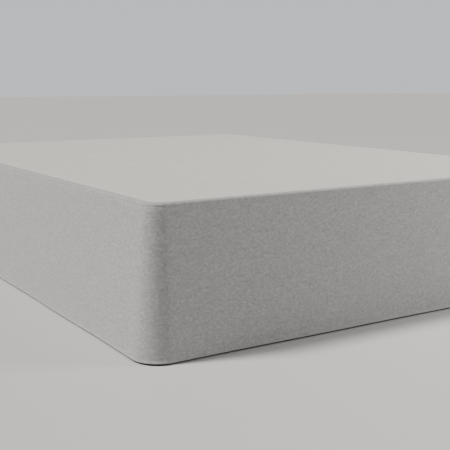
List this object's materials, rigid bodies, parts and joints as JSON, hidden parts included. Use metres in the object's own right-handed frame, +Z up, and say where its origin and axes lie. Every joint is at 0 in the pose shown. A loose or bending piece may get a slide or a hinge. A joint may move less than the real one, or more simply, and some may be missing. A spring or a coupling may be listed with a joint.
{
  "type": "bed skirt on a box spring and bed frame",
  "caption": "Flat tailored bed skirt with rounded corners: a continuous grey cloth drop sewn to a deck laid over a box spring on a steel angle bed frame.",
  "frame": {"origin": "middle of the bed on the floor, the bottom centre of the whole object's box", "axes": "+Z up, -Y towards the foot of the bed, +Y towards the open head end, X across the bed"},
  "size_m": [1.564, 2.048, 0.381],
  "materials": {
    "drop_cloth": "matt heathered grey plain weave",
    "deck_cloth": "matt off-white plain weave",
    "ticking": "matt woven ticking",
    "steel_paint": "satin dark brown-black paint",
    "glide_plastic": "moulded black"
  },
  "bodies": {
    "root": {"skirt_drop": "drop_cloth", "skirt_deck": "deck_cloth", "box_spring": "ticking", "side_rail_left": "steel_paint", "side_rail_right": "steel_paint", "cross_rail_foot": "steel_paint", "cross_rail_middle": "steel_paint", "cross_rail_head": "steel_paint", "side_leg_left_foot": "steel_paint", "side_leg_left_middle": "steel_paint", "side_leg_left_head": "steel_paint", "side_leg_right_foot": "steel_paint", "side_leg_right_middle": "steel_paint", "side_leg_right_head": "steel_paint", "centre_leg_foot": "steel_paint", "centre_leg_middle": "steel_paint", "centre_leg_head": "steel_paint", "glide_left_foot": "glide_plastic", "glide_left_middle": "glide_plastic", "glide_left_head": "glide_plastic", "glide_right_foot": "glide_plastic", "glide_right_middle": "glide_plastic", "glide_right_head": "glide_plastic", "glide_centre_foot": "glide_plastic", "glide_centre_middle": "glide_plastic", "glide_centre_head": "glide_plastic"}
  },
  "joints": []
}
